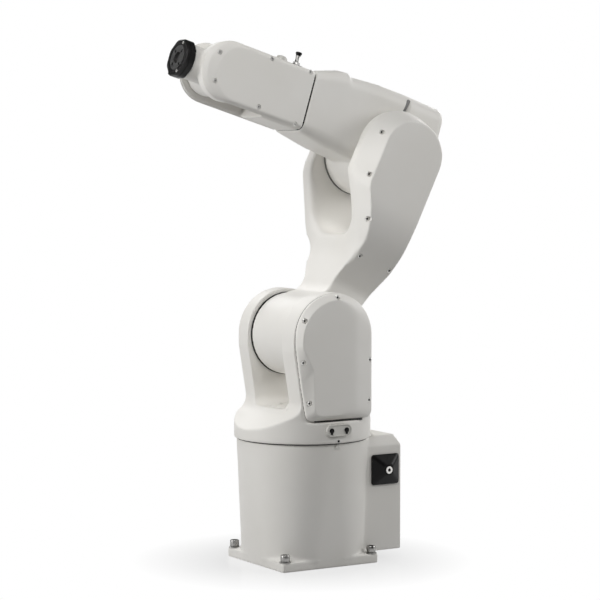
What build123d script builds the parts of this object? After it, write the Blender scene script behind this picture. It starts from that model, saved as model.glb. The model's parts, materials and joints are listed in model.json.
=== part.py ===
from build123d import *
import math
import os

os.makedirs("parts", exist_ok=True)

# Six-axis robot arm, in millimetres. Origin: middle of the foot plate's underside, on the upright
# axis. +X is the way the arm reaches, +Y its left side, +Z up.

# Arm lengths and the pose it stands in
axis_2_height = 399.1
lower_arm_length = 350
forearm_length = 351
forearm_rise = 42
flange_reach = 82
lower_arm_lean = -26.07
forearm_pitch = 17.06

# Running and seating clearances
run_gap = 0.3
swing_gap = 5
seal_thick = 1.6
seal_width = 8
seal_lip = 1
end_flat = 0.5
joined_depth = 1

# Foot plate, column and rear connection box
plate_side = 195
plate_thick = 16
plate_corner_r = 4
bolt_span = 176
bolt_hole_r = 5.5
spot_face_r = 14
spot_face_depth = 0.5
column_corner_r = 71
waist_step = 4.5
turret_rise = 179.5
box_rear = 160
box_half_width = 75
box_rise = 1.4
box_lid_height = 18
box_bevel = 10
box_root = 60

# Fittings on the box
guard_width = 58
guard_height = 54
guard_flange = 2.5
guard_rise = 11
guard_nose = 18
guard_corner_r = 5
guard_x = -125
guard_drop = 42
button_r = 6.5
button_rise = 2
button_bore_r = 3
connector_plate_thick = 3
connector_plate_width = 128
connector_plate_low = 33
connector_plate_drop = 24
power_flange_side = 40
power_flange_thick = 3
power_r = 16
power_length = 15
power_y = -34
signal_width = 46
signal_height = 22
signal_depth = 12
signal_y = 30
upper_row_share = 0.75
network_r = 9
network_length = 12
network_y = 30
middle_row_share = 0.49
air_port_r = 6
air_port_length = 13
air_port_pitch = 24
air_port_count = 4
lower_row_share = 0.16

# Turret: skirt, towers and covers
skirt_r = 120.5
skirt_height = 19.4
valley_drop = 51.6
valley_r = 14
tower_r = 80
tower_near_in = 55
tower_near_step = 16.5
tower_far_in = -54
tower_far_step = 25.5
tower_waist_front = 63
tower_waist_rear = -77
tower_waist_rise = 1
tower_waist_r = 26
tower_taper_drop = 20
tower_edge_r = 12
tower_flare_r = 142
shoulder_cover_gap = 0.3
shoulder_cover_clear = 3
shoulder_cover_rim = 6
shoulder_cover_depth = 18
shoulder_cover_rise = 40.4
shoulder_cover_inset = 2
shoulder_cover_foot = 57
shoulder_cover_rear = -75
shoulder_cover_corner_r = 14
shoulder_cover_bulge = 1
shoulder_face_inset = 9
shoulder_face_front = 72
shoulder_face_waist = 50
shoulder_face_foot = 48
shoulder_face_rear = -36
shoulder_face_corner_r = 33
shoulder_bend_drop = 13
shoulder_bend_length = 37
shoulder_bend_r = 22
far_cover_thick = 5
far_cover_r = 62
far_cover_edge = 2
port_width = 51
port_height = 21
port_rise = 23.4
port_thick = 5
port_proud = 2
plug_r = 4
plug_spacing = 30
plug_proud = 1.5

# Lower arm: barrel, neck, web and fork
barrel_r = 72.5
head_r = 78
fork_near = 60
fork_far = -62
cheek_far_out = -92
leg_near_out = 78
cover_face = 118
fork_depth = 158
fork_corner_r = 34
fork_edge_r = 6
cheek_edge_r = 10
neck_bottom = 105
neck_r = 30
slope_top_near = 212
slope_top_far = 195
slope_r = 150
leg_front = 82
leg_rear = -76
leg_knee_drop = 65
leg_waist_front = 14
leg_waist_up = 166
leg_waist_rear = -66
leg_waist_rear_up = 100
leg_rear_up = 190
leg_flare_up = 82
leg_flare_reach = 50
leg_flare_foot = 52
leg_bend_r = 60
leg_flare_r = 30
leg_rear_r = 40
face_inset = 17
face_front = 59
face_rear = -62
face_knee_drop = 84
face_waist_front = 1
face_waist_up = 178
face_waist_rear = -58
face_flare_reach = 42
face_bend_r = 40
face_taper = 1
far_cap_r = 58
far_cap_thick = 6
far_cap_edge = 2.5

# Elbow housing, measured from axis 3 along the forearm (u) and across it (n)
hub_r = 70
elbow_half_width = 55.5
elbow_rear = 71
elbow_cap_length = 21
elbow_corner_r = 26
elbow_cap_edge_r = 16
elbow_top = 115
elbow_bottom = -30
elbow_rear_bottom = -5
elbow_rear_inset = 2
front_length = 162.8
roll_half_width = 51
roll_half_height = 55.5
roll_corner_r = 18
roll_seal_inset = 3
hump_length = 72
hump_step = 7
hump_crest = 26
hump_rise = 5
groove_u = -8
groove_width = 5
groove_depth = 4
groove_length = 32
hump_narrowing = 1
crest_narrowing = 2
crest_drop = 2
hump_corner_r = 24
crest_corner_r = 23

# Forearm, wrist and flange
wrist_r = 53
wrist_half_width = 50
cheek_in = 37.7
cheek_out = 41.7
cheek_inset = 2
core_proud = 0.5
core_corner_r = 12
recess_length = 85
wrist_cover_gap = 1
wrist_nose_y = 46.5
wrist_nose_inset = 2.5
wrist_nose_setback = 6.5
wrist_face_inset = 6
wrist_face_setback = 20
tilt_r = 41
drum_inset = 1.5
drum_in = 18
drum_edge_r = 4
tilt_neck_r = 30
flange_r = 33.6
flange_thick = 18.2
flange_disc_r = 22
flange_disc_thick = 12
flange_disc_gap = 0.1
pilot_r = 10
pilot_depth = 6
tool_pcd = 31.5
tool_hole_r = 2.5
tool_hole_depth = 9
tool_hole_count = 4
fitting_back = 129
fitting_y = 28
fitting_hex_r = 6
fitting_hex_height = 8
fitting_r = 4.2
fitting_height = 24
fitting_collar_r = 5.6
fitting_collar_height = 3
cap_back = 99
cap_y = 26
cap_r = 11.5
cap_height = 8
cap_edge_r = 4

# Frames of the moving groups
lower_arm_frame = Pos(0, 0, axis_2_height) * Rot(0, lower_arm_lean, 0)
axis_3_x = lower_arm_length * math.sin(math.radians(lower_arm_lean))
axis_3_z = axis_2_height + lower_arm_length * math.cos(math.radians(lower_arm_lean))
forearm_frame = Pos(axis_3_x, 0, axis_3_z) * Rot(0, -forearm_pitch, 0)

# Heights of the base and turret that follow from the height of axis 2
waist_height = axis_2_height - turret_rise
box_top = waist_height + box_rise
box_wall_top = box_top - box_lid_height
guard_z = box_wall_top - guard_drop
connector_plate_top = box_wall_top - connector_plate_drop
connector_plate_height = connector_plate_top - connector_plate_low
upper_row_z = connector_plate_low + upper_row_share * connector_plate_height
middle_row_z = connector_plate_low + middle_row_share * connector_plate_height
lower_row_z = connector_plate_low + lower_row_share * connector_plate_height
skirt_top = waist_height + skirt_height
valley_top = axis_2_height - barrel_r - valley_drop
tower_waist_z = valley_top + tower_waist_rise
shoulder_cover_bottom = waist_height + shoulder_cover_rise
port_z = waist_height + port_rise

# Widths that follow from the skirt
column_top_r = skirt_r - waist_step
tower_near_out = skirt_r - tower_near_step
tower_far_out = tower_far_step - skirt_r
shoulder_cover_face = tower_near_out + shoulder_cover_depth

# Places along the forearm that follow from its lengths
roll_seam = forearm_length - front_length
forearm_start = roll_seam + seal_thick + run_gap
forearm_top = forearm_rise + wrist_r + core_proud
recess_wall = forearm_length - recess_length
flange_front = forearm_length + flange_reach
flange_back = flange_front - flange_thick
connector_back = -box_rear - connector_plate_thick
barrel_low = tower_far_in + seal_thick + run_gap
barrel_high = tower_near_in - seal_thick - run_gap
tower_clear_r = tower_r + swing_gap + joined_depth
neck_near = tower_near_in - swing_gap
neck_far = tower_far_in + swing_gap


# Helpers
def outline(corners):
    """Closed side-view face from rows of x, z and corner radius."""
    points = [(x, z) for x, z, radius in corners]
    radii = [radius for x, z, radius in corners]
    return make_face(Plane.XZ * FilletPolyline(*points, radius=radii, close=True))


def slab(face, y_low, y_high):
    """Side-view face made solid from y_low to y_high."""
    return Pos(0, y_low, 0) * extrude(face, amount=y_high - y_low, dir=(0, 1, 0))


def disc(radius, y_low, y_high, x=0, z=0):
    """Round slab whose axis runs along Y."""
    return slab(Pos(x, 0, z) * (Plane.XZ * Circle(radius)), y_low, y_high)


def bevelled(wide, narrow, y_wide, y_narrow):
    """Solid between two side-view faces with matching corners."""
    return loft([Pos(0, y_wide, 0) * wide, Pos(0, y_narrow, 0) * narrow], ruled=True)


def upright(radius, z_low, z_high, x=0, y=0):
    """Round bar standing along Z."""
    bar = Cylinder(radius, z_high - z_low, align=(Align.CENTER, Align.CENTER, Align.MIN))
    return Pos(x, y, z_low) * bar


def along_x(radius, x_low, x_high, y=0, z=0):
    """Round bar lying along X."""
    bar = Cylinder(radius, x_high - x_low, align=(Align.CENTER, Align.CENTER, Align.MIN))
    return Pos(x_low, y, z) * Rot(0, 90, 0) * bar


def block(x_low, x_high, y_low, y_high, z_low, z_high):
    """Box given by its two corners."""
    middle = ((x_low + x_high) / 2, (y_low + y_high) / 2, (z_low + z_high) / 2)
    return Pos(*middle) * Box(x_high - x_low, y_high - y_low, z_high - z_low)


def section(u, half_width, n_low, n_high, corner_r):
    """Rounded cross-section of the forearm, square to its length."""
    plane = Plane(origin=(u, 0, (n_low + n_high) / 2), x_dir=(0, 1, 0), z_dir=(1, 0, 0))
    return plane * RectangleRounded(2 * half_width, n_high - n_low, corner_r)


# Base
def base_housing():
    column_top = waist_height - seal_thick
    plate = block(-plate_side / 2, plate_side / 2, -plate_side / 2, plate_side / 2, 0, plate_thick)
    plate = fillet(plate.edges().filter_by(Axis.Z), plate_corner_r)
    column_foot = RectangleRounded(plate_side, plate_side, column_corner_r)
    column_head = RectangleRounded(2 * column_top_r, 2 * column_top_r, column_top_r - end_flat)
    column = loft([column_foot, Pos(0, 0, column_top) * column_head], ruled=True)
    box_length = box_rear - box_root
    box_middle = -(box_rear + box_root) / 2
    rear_box = block(-box_rear, -box_root, -box_half_width, box_half_width, plate_thick, box_wall_top)
    lid_foot = Rectangle(box_length, 2 * box_half_width)
    lid_head = Rectangle(box_length - 2 * box_bevel, 2 * (box_half_width - box_bevel))
    rear_box += loft([Pos(box_middle, 0, box_wall_top) * lid_foot,
                      Pos(box_middle, 0, box_top) * lid_head], ruled=True)
    rear_box -= upright(skirt_r + swing_gap, column_top, box_top + swing_gap)
    body = plate + column + rear_box
    spot_z = plate_thick - spot_face_depth
    for x in (-bolt_span / 2, bolt_span / 2):
        for y in (-bolt_span / 2, bolt_span / 2):
            body -= upright(spot_face_r, spot_z, plate_thick, x, y)
            body -= upright(bolt_hole_r, 0, plate_thick, x, y)
    return body


def waist_seal():
    low = waist_height - seal_thick
    ring_r = column_top_r - seal_lip
    return upright(ring_r, low, waist_height) - upright(ring_r - seal_width, low, waist_height)


def brake_guard():
    side = Plane(origin=(guard_x, box_half_width, guard_z), x_dir=(-1, 0, 0), z_dir=(0, 1, 0))
    foot = RectangleRounded(guard_width, guard_height, guard_corner_r)
    nose = RectangleRounded(guard_nose, guard_nose, guard_corner_r)
    flange = extrude(foot, amount=guard_flange)
    peak = loft([Pos(0, 0, guard_flange) * foot, Pos(0, 0, guard_flange + guard_rise) * nose], ruled=True)
    return side * (flange + peak)


def brake_button():
    face = box_half_width + guard_flange + guard_rise
    ring = disc(button_r, face, face + button_rise, guard_x, guard_z)
    return ring - disc(button_bore_r, face + button_rise / 2, face + button_rise, guard_x, guard_z)


def connector_plate():
    plate = block(connector_back, -box_rear, -connector_plate_width / 2, connector_plate_width / 2,
                  connector_plate_low, connector_plate_top)
    return fillet(plate.edges().filter_by(Axis.X), guard_corner_r)


def power_connector():
    half = power_flange_side / 2
    face = connector_back - power_flange_thick
    flange = block(face, connector_back, power_y - half, power_y + half, upper_row_z - half,
                   upper_row_z + half)
    return flange + along_x(power_r, face - power_length, face, power_y, upper_row_z)


def signal_connector():
    return block(connector_back - signal_depth, connector_back,
                 signal_y - signal_width / 2, signal_y + signal_width / 2,
                 upper_row_z - signal_height / 2, upper_row_z + signal_height / 2)


def network_connector():
    return along_x(network_r, connector_back - network_length, connector_back, network_y, middle_row_z)


def air_ports():
    ports = Part()
    for index in range(air_port_count):
        y = (index - (air_port_count - 1) / 2) * air_port_pitch
        ports += along_x(air_port_r, connector_back - air_port_length, connector_back, y, lower_row_z)
    return ports


# Turret
def tower_outline():
    """Side view of the towers: round top about axis 2, tapering front, foot flaring out to the skirt."""
    top = axis_2_height + tower_r
    low = waist_height + run_gap
    edge = skirt_r + swing_gap
    front_fall = (tower_waist_z - skirt_top) / (skirt_r - tower_waist_front)
    rear_fall = (tower_waist_z - skirt_top) / (skirt_r + tower_waist_rear)
    return outline([(tower_r, top, tower_r - end_flat),
                    (tower_r, axis_2_height - tower_taper_drop, tower_r / 2),
                    (tower_waist_front, tower_waist_z, tower_waist_r),
                    (edge, skirt_top - front_fall * swing_gap, 0),
                    (edge, low, 0),
                    (-edge, low, 0),
                    (-edge, skirt_top - rear_fall * swing_gap, 0),
                    (tower_waist_rear, tower_waist_z, tower_waist_r),
                    (-tower_r, top, tower_r - 3 * end_flat)])


def valley_corner(inner, towards):
    """Rounded corner strip where the floor between the towers meets a tower's inner face."""
    middle = inner + towards * valley_r
    strip = block(-skirt_r, skirt_r, min(inner, middle), max(inner, middle),
                  valley_top - joined_depth, valley_top + valley_r)
    return strip - along_x(valley_r, -skirt_r, skirt_r, middle, valley_top + valley_r)


def upper_edges(face):
    """Edges of a tower's side face that stand above the skirt."""
    return face.edges().filter_by(lambda edge: edge.center().Z > skirt_top)


def turret_casting():
    low = waist_height + run_gap
    reach = axis_2_height + tower_r + swing_gap
    side = tower_outline()
    far_tower = slab(side, tower_far_out, tower_far_in)
    far_tower = fillet(upper_edges(far_tower.faces().sort_by(Axis.Y)[0]), tower_edge_r)
    near_tower = slab(side, tower_near_in, tower_near_out)
    near_tower = fillet(upper_edges(near_tower.faces().sort_by(Axis.Y)[0]), tower_edge_r)
    ledge = shoulder_cover_bottom - shoulder_cover_clear
    apron = slab(side, -skirt_r, skirt_r) & block(-skirt_r, skirt_r, -skirt_r, skirt_r, low, ledge)
    saddle_far = tower_far_in - joined_depth
    saddle_near = tower_near_in + tower_edge_r
    floor = block(-skirt_r, skirt_r, saddle_far, saddle_near, low, valley_top)
    corners = valley_corner(tower_far_in, 1) + valley_corner(tower_near_in, -1)
    saddle = slab(side, saddle_far, saddle_near) & (floor + corners)
    half_envelope = Polyline((0, low), (skirt_r, low), (skirt_r, shoulder_cover_bottom),
                             (tower_flare_r, axis_2_height), (tower_flare_r, reach), (0, reach), close=True)
    envelope = revolve(Plane.XZ * make_face(half_envelope), Axis.Z)
    skirt = upright(skirt_r, low, skirt_top - joined_depth)
    body = (skirt + apron + saddle + far_tower + near_tower) & envelope
    pocket = SlotOverall(port_width + 2 * run_gap, port_height + 2 * run_gap)
    return body - port_frame() * extrude(pocket, amount=skirt_r)


def port_frame():
    """Plane of the port plate's back, on the skirt's left side, facing out."""
    back = skirt_r + port_proud - port_thick
    return Plane(origin=(0, back, port_z), x_dir=(-1, 0, 0), z_dir=(0, 1, 0))


def port_plate():
    return port_frame() * extrude(SlotOverall(port_width, port_height), amount=port_thick)


def port_plugs():
    plugs = Part()
    for side in (-1, 1):
        plugs += Pos(side * plug_spacing / 2, 0, port_thick) * Cylinder(
            plug_r, plug_proud, align=(Align.CENTER, Align.CENTER, Align.MIN))
    return port_frame() * plugs


def shoulder_cover():
    top = axis_2_height + tower_r - shoulder_cover_inset
    front = tower_r - shoulder_cover_inset
    bend = axis_2_height - tower_taper_drop / 2
    middle = (bend + shoulder_cover_bottom) / 2
    low = shoulder_cover_bottom
    seam = outline([(front, top, front - swing_gap), (front, bend, tower_r / 2),
                    ((front + shoulder_cover_foot) / 2 + shoulder_cover_bulge, middle, tower_r / 2),
                    (shoulder_cover_foot, low, shoulder_cover_corner_r),
                    (shoulder_cover_rear, low, shoulder_cover_corner_r),
                    (shoulder_cover_rear, top, front - swing_gap)])
    top -= shoulder_face_inset
    low += shoulder_face_inset
    bend = axis_2_height - shoulder_bend_drop
    face = outline([(shoulder_face_front, top, shoulder_face_front - end_flat),
                    (shoulder_face_front, bend, shoulder_bend_r),
                    (shoulder_face_waist, bend - shoulder_bend_length, shoulder_bend_r),
                    (shoulder_face_foot, low, shoulder_cover_corner_r),
                    (shoulder_face_rear, low, shoulder_cover_corner_r),
                    (shoulder_face_rear, top, shoulder_face_corner_r)])
    seat = tower_near_out + shoulder_cover_gap
    step = seat + shoulder_cover_rim
    return slab(seam, seat, step) + bevelled(seam, face, step, shoulder_cover_face)


def shoulder_far_cover():
    plate = disc(far_cover_r, tower_far_out - far_cover_thick, tower_far_out, 0, axis_2_height)
    return chamfer(plate.faces().sort_by(Axis.Y)[0].edges(), far_cover_edge)


def shoulder_seals():
    seals = Part()
    for y_low in (tower_far_in, tower_near_in - seal_thick):
        ring = disc(barrel_r + seal_lip, y_low, y_low + seal_thick, 0, axis_2_height)
        hole_r = barrel_r + seal_lip - seal_width
        seals += ring - disc(hole_r, y_low, y_low + seal_thick, 0, axis_2_height)
    return seals


# Lower arm, built upright about axis 2 and then leaned
def leg_outline():
    """Side view of the lower arm from the neck to the elbow head."""
    top = lower_arm_length + head_r
    return outline([(leg_front, top, head_r - end_flat),
                    (leg_front, lower_arm_length - leg_knee_drop, leg_bend_r),
                    (leg_waist_front, leg_waist_up, leg_bend_r),
                    (leg_waist_front, leg_flare_up, leg_flare_r),
                    (leg_flare_reach, leg_flare_foot, 0),
                    (-leg_flare_reach, leg_flare_foot, 0),
                    (leg_waist_rear, leg_waist_rear_up, leg_rear_r),
                    (leg_rear, leg_rear_up, leg_bend_r),
                    (leg_rear, top, -leg_rear - end_flat)])


def face_outline():
    """Side view of the near cover's flat face, with the same corners as the leg."""
    top = lower_arm_length + head_r - face_inset
    return outline([(face_front, top, face_front - end_flat),
                    (face_front - face_taper, lower_arm_length - face_knee_drop, face_bend_r),
                    (face_waist_front, face_waist_up, face_bend_r),
                    (face_waist_front + face_taper, leg_flare_up, leg_flare_r),
                    (face_flare_reach, leg_flare_foot, 0),
                    (-face_flare_reach, leg_flare_foot, 0),
                    (face_waist_rear, leg_waist_rear_up, leg_rear_r),
                    (face_rear, leg_rear_up, leg_bend_r),
                    (face_rear, top, face_front - end_flat)])


def front_view(corners):
    """Solid of a front view, given as rows of y, z and corner radius, running along X through the arm."""
    points = [(y, z) for y, z, radius in corners]
    radii = [radius for y, z, radius in corners]
    face = make_face(Plane.YZ * FilletPolyline(*points, radius=radii, close=True))
    return Pos(-2 * head_r, 0, 0) * extrude(face, amount=4 * head_r, dir=(1, 0, 0))


def arm_limits():
    """Front view of the arm: wide at the fork, narrowing to the neck on both sides."""
    top = lower_arm_length + 2 * head_r
    return front_view([(cheek_far_out, top, 0), (cheek_far_out, slope_top_far, slope_r),
                       (neck_far, neck_bottom, neck_r), (neck_far, 0, 0),
                       (neck_near, 0, 0), (neck_near, neck_bottom, neck_r),
                       (cover_face, slope_top_near, slope_r), (cover_face, top, 0)])


def fork_rim(leg):
    """Edges where the fork's slot comes out of the leg, without the lines along its rounded floor."""
    floor = lower_arm_length - fork_depth

    def on_rim(edge):
        box = edge.bounding_box()
        inside = box.min.Y > fork_far - run_gap and box.max.Y < fork_near + run_gap
        along_slot = box.size.Y < run_gap and box.size.Z < run_gap and box.max.Z < lower_arm_length
        return inside and box.min.Z > floor - run_gap and not along_slot

    return leg.edges().filter_by(on_rim)


def lower_arm_casting():
    far_cheek = slab(leg_outline(), cheek_far_out, fork_far)
    far_cheek = fillet(far_cheek.faces().sort_by(Axis.Y)[0].edges(), cheek_edge_r)
    leg = far_cheek + slab(leg_outline(), fork_far, leg_near_out)
    floor = lower_arm_length - fork_depth
    top = lower_arm_length + 2 * head_r
    slot = block(-2 * head_r, 2 * head_r, fork_far, fork_near, floor, top)
    slot = fillet(slot.edges().filter_by(Axis.X), fork_corner_r)
    leg -= slot
    leg = fillet(fork_rim(leg), fork_edge_r) & arm_limits()
    leg -= disc(tower_clear_r, cheek_far_out - swing_gap, barrel_low)
    leg -= disc(tower_clear_r, barrel_high, cover_face + swing_gap)
    return leg + disc(barrel_r, barrel_low, barrel_high)


def lower_arm_cover():
    cover = bevelled(leg_outline(), face_outline(), leg_near_out, cover_face)
    return (cover & arm_limits()) - disc(tower_clear_r, barrel_high, cover_face + swing_gap)


def elbow_far_cap():
    cap = disc(far_cap_r, cheek_far_out - far_cap_thick, cheek_far_out, 0, lower_arm_length)
    return chamfer(cap.faces().sort_by(Axis.Y)[0].edges(), far_cap_edge)


def elbow_seals():
    seals = Part()
    for y_low in (fork_far, fork_near - seal_thick):
        ring = disc(hub_r + seal_lip, y_low, y_low + seal_thick, 0, lower_arm_length)
        hole_r = hub_r + seal_lip - seal_width
        seals += ring - disc(hole_r, y_low, y_low + seal_thick, 0, lower_arm_length)
    return seals


# Elbow, built level about axis 3 and then pitched
def elbow_end():
    """Cross-section where the rear cap meets the housing."""
    return section(-elbow_rear, elbow_half_width - elbow_rear_inset, elbow_rear_bottom,
                   elbow_top - elbow_rear_inset, elbow_corner_r)


def elbow_housing():
    hub = disc(hub_r, fork_far + seal_thick + run_gap, fork_near - seal_thick - run_gap)
    hump = roll_seam - hump_length
    crest = elbow_top - hump_rise
    low = forearm_rise - roll_half_height
    wide = elbow_half_width
    hump_low = (2 * elbow_bottom + low) / 3
    shape = [elbow_end(),
             section(0, wide, (elbow_bottom + elbow_rear_bottom) / 2, elbow_top, elbow_corner_r),
             section(hump / 2, wide, elbow_bottom, elbow_top, elbow_corner_r),
             section(hump, wide - hump_narrowing, hump_low, crest, hump_corner_r),
             section(hump + hump_step, wide - hump_narrowing, hump_low, elbow_top, hump_corner_r),
             section(hump + hump_crest, wide - crest_narrowing, (elbow_bottom + low) / 2,
                     elbow_top - crest_drop, crest_corner_r),
             section(roll_seam, roll_half_width, low, forearm_rise + roll_half_height, roll_corner_r)]
    groove = block(groove_u - groove_width / 2, groove_u + groove_width / 2,
                   wide - groove_depth, wide + swing_gap,
                   elbow_top - groove_length, elbow_top + swing_gap)
    return hub + loft(shape, ruled=True) - groove


def elbow_rear_cap():
    cap = extrude(elbow_end(), amount=elbow_cap_length, dir=(-1, 0, 0))
    return fillet(cap.faces().sort_by(Axis.X)[0].edges(), elbow_cap_edge_r)


def roll_seal():
    half = roll_half_height - roll_seal_inset
    ring = section(roll_seam, roll_half_width - roll_seal_inset, forearm_rise - half, forearm_rise + half,
                   roll_corner_r - roll_seal_inset)
    return extrude(ring, amount=seal_thick, dir=(1, 0, 0))


# Forearm and wrist, in the elbow's frame
def wrist_outline(u_low, radius, setback=0):
    """Side view of the forearm's front: square rear, round end about axis 5 or set back from it."""
    low = forearm_rise - radius
    high = forearm_rise + radius
    end = forearm_length + radius - setback
    end_r = radius - end_flat
    return outline([(u_low, low, 0), (end, low, end_r), (end, high, end_r), (u_low, high, 0)])


def forearm_casting():
    half = wrist_r + core_proud
    rear = section(forearm_start, cheek_out, forearm_rise - half, forearm_rise + half, core_corner_r)
    body = extrude(rear, amount=recess_wall - forearm_start, dir=(1, 0, 0))
    for y_low in (-cheek_out, cheek_in):
        cheek = wrist_outline(recess_wall - cheek_inset, wrist_r - cheek_inset)
        body += slab(cheek, y_low, y_low + cheek_out - cheek_in)
    return body


def wrist_cover():
    start = forearm_start + wrist_cover_gap
    seam = wrist_outline(start, wrist_r)
    nose = wrist_outline(start, wrist_r - wrist_nose_inset, wrist_nose_setback)
    face = wrist_outline(start, wrist_r - wrist_face_inset, wrist_face_setback)
    rim = bevelled(seam, nose, cheek_out, wrist_nose_y)
    return rim + bevelled(nose, face, wrist_nose_y, wrist_half_width)


def air_fitting():
    u = forearm_length - fitting_back
    tip = forearm_top + fitting_height
    base = extrude(RegularPolygon(fitting_hex_r, 6), amount=fitting_hex_height)
    base = Pos(u, fitting_y, forearm_top) * base
    stem = upright(fitting_r, forearm_top, tip, u, fitting_y)
    return base + stem + upright(fitting_collar_r, tip - fitting_collar_height, tip, u, fitting_y)


def socket_cap():
    cap = upright(cap_r, forearm_top, forearm_top + cap_height, forearm_length - cap_back, cap_y)
    return fillet(cap.faces().sort_by(Axis.Z)[-1].edges(), cap_edge_r)


def tilt_housing():
    hub = disc(tilt_r, -cheek_in + run_gap, cheek_in - run_gap, forearm_length, forearm_rise)
    drum = disc(wrist_r - drum_inset, drum_in, cheek_in - run_gap, forearm_length, forearm_rise)
    drum = fillet(drum.faces().sort_by(Axis.Y)[0].edges(), drum_edge_r)
    return hub + drum + along_x(tilt_neck_r, forearm_length, flange_back - run_gap, 0, forearm_rise)


def flange_ring():
    seat = flange_front - flange_disc_thick
    ring = along_x(flange_r, flange_back, flange_front, 0, forearm_rise)
    return ring - along_x(flange_disc_r + flange_disc_gap, seat, flange_front, 0, forearm_rise)


def flange_disc():
    plate = along_x(flange_disc_r, flange_front - flange_disc_thick, flange_front, 0, forearm_rise)
    plate -= along_x(pilot_r, flange_front - pilot_depth, flange_front, 0, forearm_rise)
    for index in range(tool_hole_count):
        turn = math.radians((index + 0.5) * 360 / tool_hole_count)
        y = tool_pcd / 2 * math.cos(turn)
        z = forearm_rise + tool_pcd / 2 * math.sin(turn)
        plate -= along_x(tool_hole_r, flange_front - tool_hole_depth, flange_front, y, z)
    return plate


fixed_parts = {
    "base_housing": base_housing(),
    "waist_seal": waist_seal(),
    "brake_guard": brake_guard(),
    "brake_button": brake_button(),
    "connector_plate": connector_plate(),
    "power_connector": power_connector(),
    "signal_connector": signal_connector(),
    "network_connector": network_connector(),
    "air_ports": air_ports(),
    "turret_casting": turret_casting(),
    "shoulder_cover": shoulder_cover(),
    "shoulder_far_cover": shoulder_far_cover(),
    "port_plate": port_plate(),
    "port_plugs": port_plugs(),
    "shoulder_seals": shoulder_seals(),
}
lower_arm_parts = {
    "lower_arm_casting": lower_arm_casting(),
    "lower_arm_cover": lower_arm_cover(),
    "elbow_far_cap": elbow_far_cap(),
    "elbow_seals": elbow_seals(),
}
forearm_parts = {
    "elbow_housing": elbow_housing(),
    "elbow_rear_cap": elbow_rear_cap(),
    "roll_seal": roll_seal(),
    "forearm_casting": forearm_casting(),
    "wrist_cover_near": wrist_cover(),
    "wrist_cover_far": mirror(wrist_cover(), about=Plane.XZ),
    "air_fitting": air_fitting(),
    "socket_cap": socket_cap(),
    "tilt_housing": tilt_housing(),
    "flange_ring": flange_ring(),
    "flange_disc": flange_disc(),
}
for name, part in fixed_parts.items():
    export_step(part, f"parts/{name}.step")
for name, part in lower_arm_parts.items():
    export_step(lower_arm_frame * part, f"parts/{name}.step")
for name, part in forearm_parts.items():
    export_step(forearm_frame * part, f"parts/{name}.step")
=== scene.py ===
import json
import math

import bmesh
import bpy
from mathutils import Matrix, Vector
from mathutils.bvhtree import BVHTree


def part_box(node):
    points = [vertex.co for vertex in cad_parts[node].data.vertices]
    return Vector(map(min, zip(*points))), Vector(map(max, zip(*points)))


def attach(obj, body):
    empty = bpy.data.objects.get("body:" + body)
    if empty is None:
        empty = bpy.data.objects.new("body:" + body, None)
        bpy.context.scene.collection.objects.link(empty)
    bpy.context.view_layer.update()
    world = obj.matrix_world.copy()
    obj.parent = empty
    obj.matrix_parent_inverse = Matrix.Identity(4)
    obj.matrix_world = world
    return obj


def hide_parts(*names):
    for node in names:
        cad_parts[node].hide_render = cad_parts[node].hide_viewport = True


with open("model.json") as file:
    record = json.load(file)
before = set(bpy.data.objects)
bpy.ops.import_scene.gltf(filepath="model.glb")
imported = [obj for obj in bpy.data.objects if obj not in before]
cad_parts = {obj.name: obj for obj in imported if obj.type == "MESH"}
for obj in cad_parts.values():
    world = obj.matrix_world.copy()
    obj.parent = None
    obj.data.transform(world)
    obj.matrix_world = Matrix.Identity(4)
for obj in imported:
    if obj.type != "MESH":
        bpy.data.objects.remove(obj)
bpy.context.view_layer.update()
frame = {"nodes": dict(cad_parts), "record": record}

nodes = frame["nodes"]
scene = bpy.context.scene

# Lengths of shapes are in millimetres, turned into metres where points are made
MM = 0.001
ROUND = 48
HEX = 6
WORLD = Matrix.Identity(4)
FORWARD = (1, 0, 0)
BACK = (-1, 0, 0)
LEFT = (0, 1, 0)
RIGHT = (0, -1, 0)
UP = (0, 0, 1)

# Frames of the leaning arm (Z runs from axis 2 to axis 3) and of the forearm (X runs along axis 4)
joints = {joint["name"]: joint for joint in frame["record"]["behaviour"]["joints"]}
mounts = {mount["name"]: mount for mount in frame["record"]["mounts"]}
AXIS_2 = Vector(joints["axis_2"]["pos_m"])
AXIS_3 = Vector(joints["axis_3"]["pos_m"])


def side_frame(origin, x_axis):
    """A frame whose Y is the model's own, with X along a direction in the side view."""
    x_axis = Vector(x_axis).normalized()
    y_axis = Vector(LEFT)
    turn = Matrix((x_axis, y_axis, x_axis.cross(y_axis))).transposed()
    return Matrix.Translation(origin) @ turn.to_4x4()


arm_line = AXIS_3 - AXIS_2
LOWER_ARM = side_frame(AXIS_2, (arm_line.z, 0, -arm_line.x))
FOREARM = side_frame(AXIS_3, joints["axis_4"]["axis"])
AXIS_5 = FOREARM.inverted() @ Vector(joints["axis_5"]["pos_m"]) / MM
TOOL_FACE = FOREARM.inverted() @ Vector(mounts["tool_bolts"]["pos_m"]) / MM


# Materials
PAINT = (0.80, 0.782, 0.740)
PAINT_PALE = (0.83, 0.814, 0.778)
# Painted shade: the grey the paint is darkened towards in its creases, how far the darkening reaches and how
# much it is at most
CREASE_SHADE = (0.42, 0.40, 0.37)
CREASE_SHADE_REACH = 0.006
CREASE_SHADE_MOST = 0.28
RUBBER = (0.018, 0.018, 0.018)
RUBBER_DARK = (0.014, 0.014, 0.014)
RUBBER_PALE = (0.035, 0.034, 0.033)
NOISE_SPREAD = 0.2
CLOUD_SPREAD = 0.15


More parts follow.
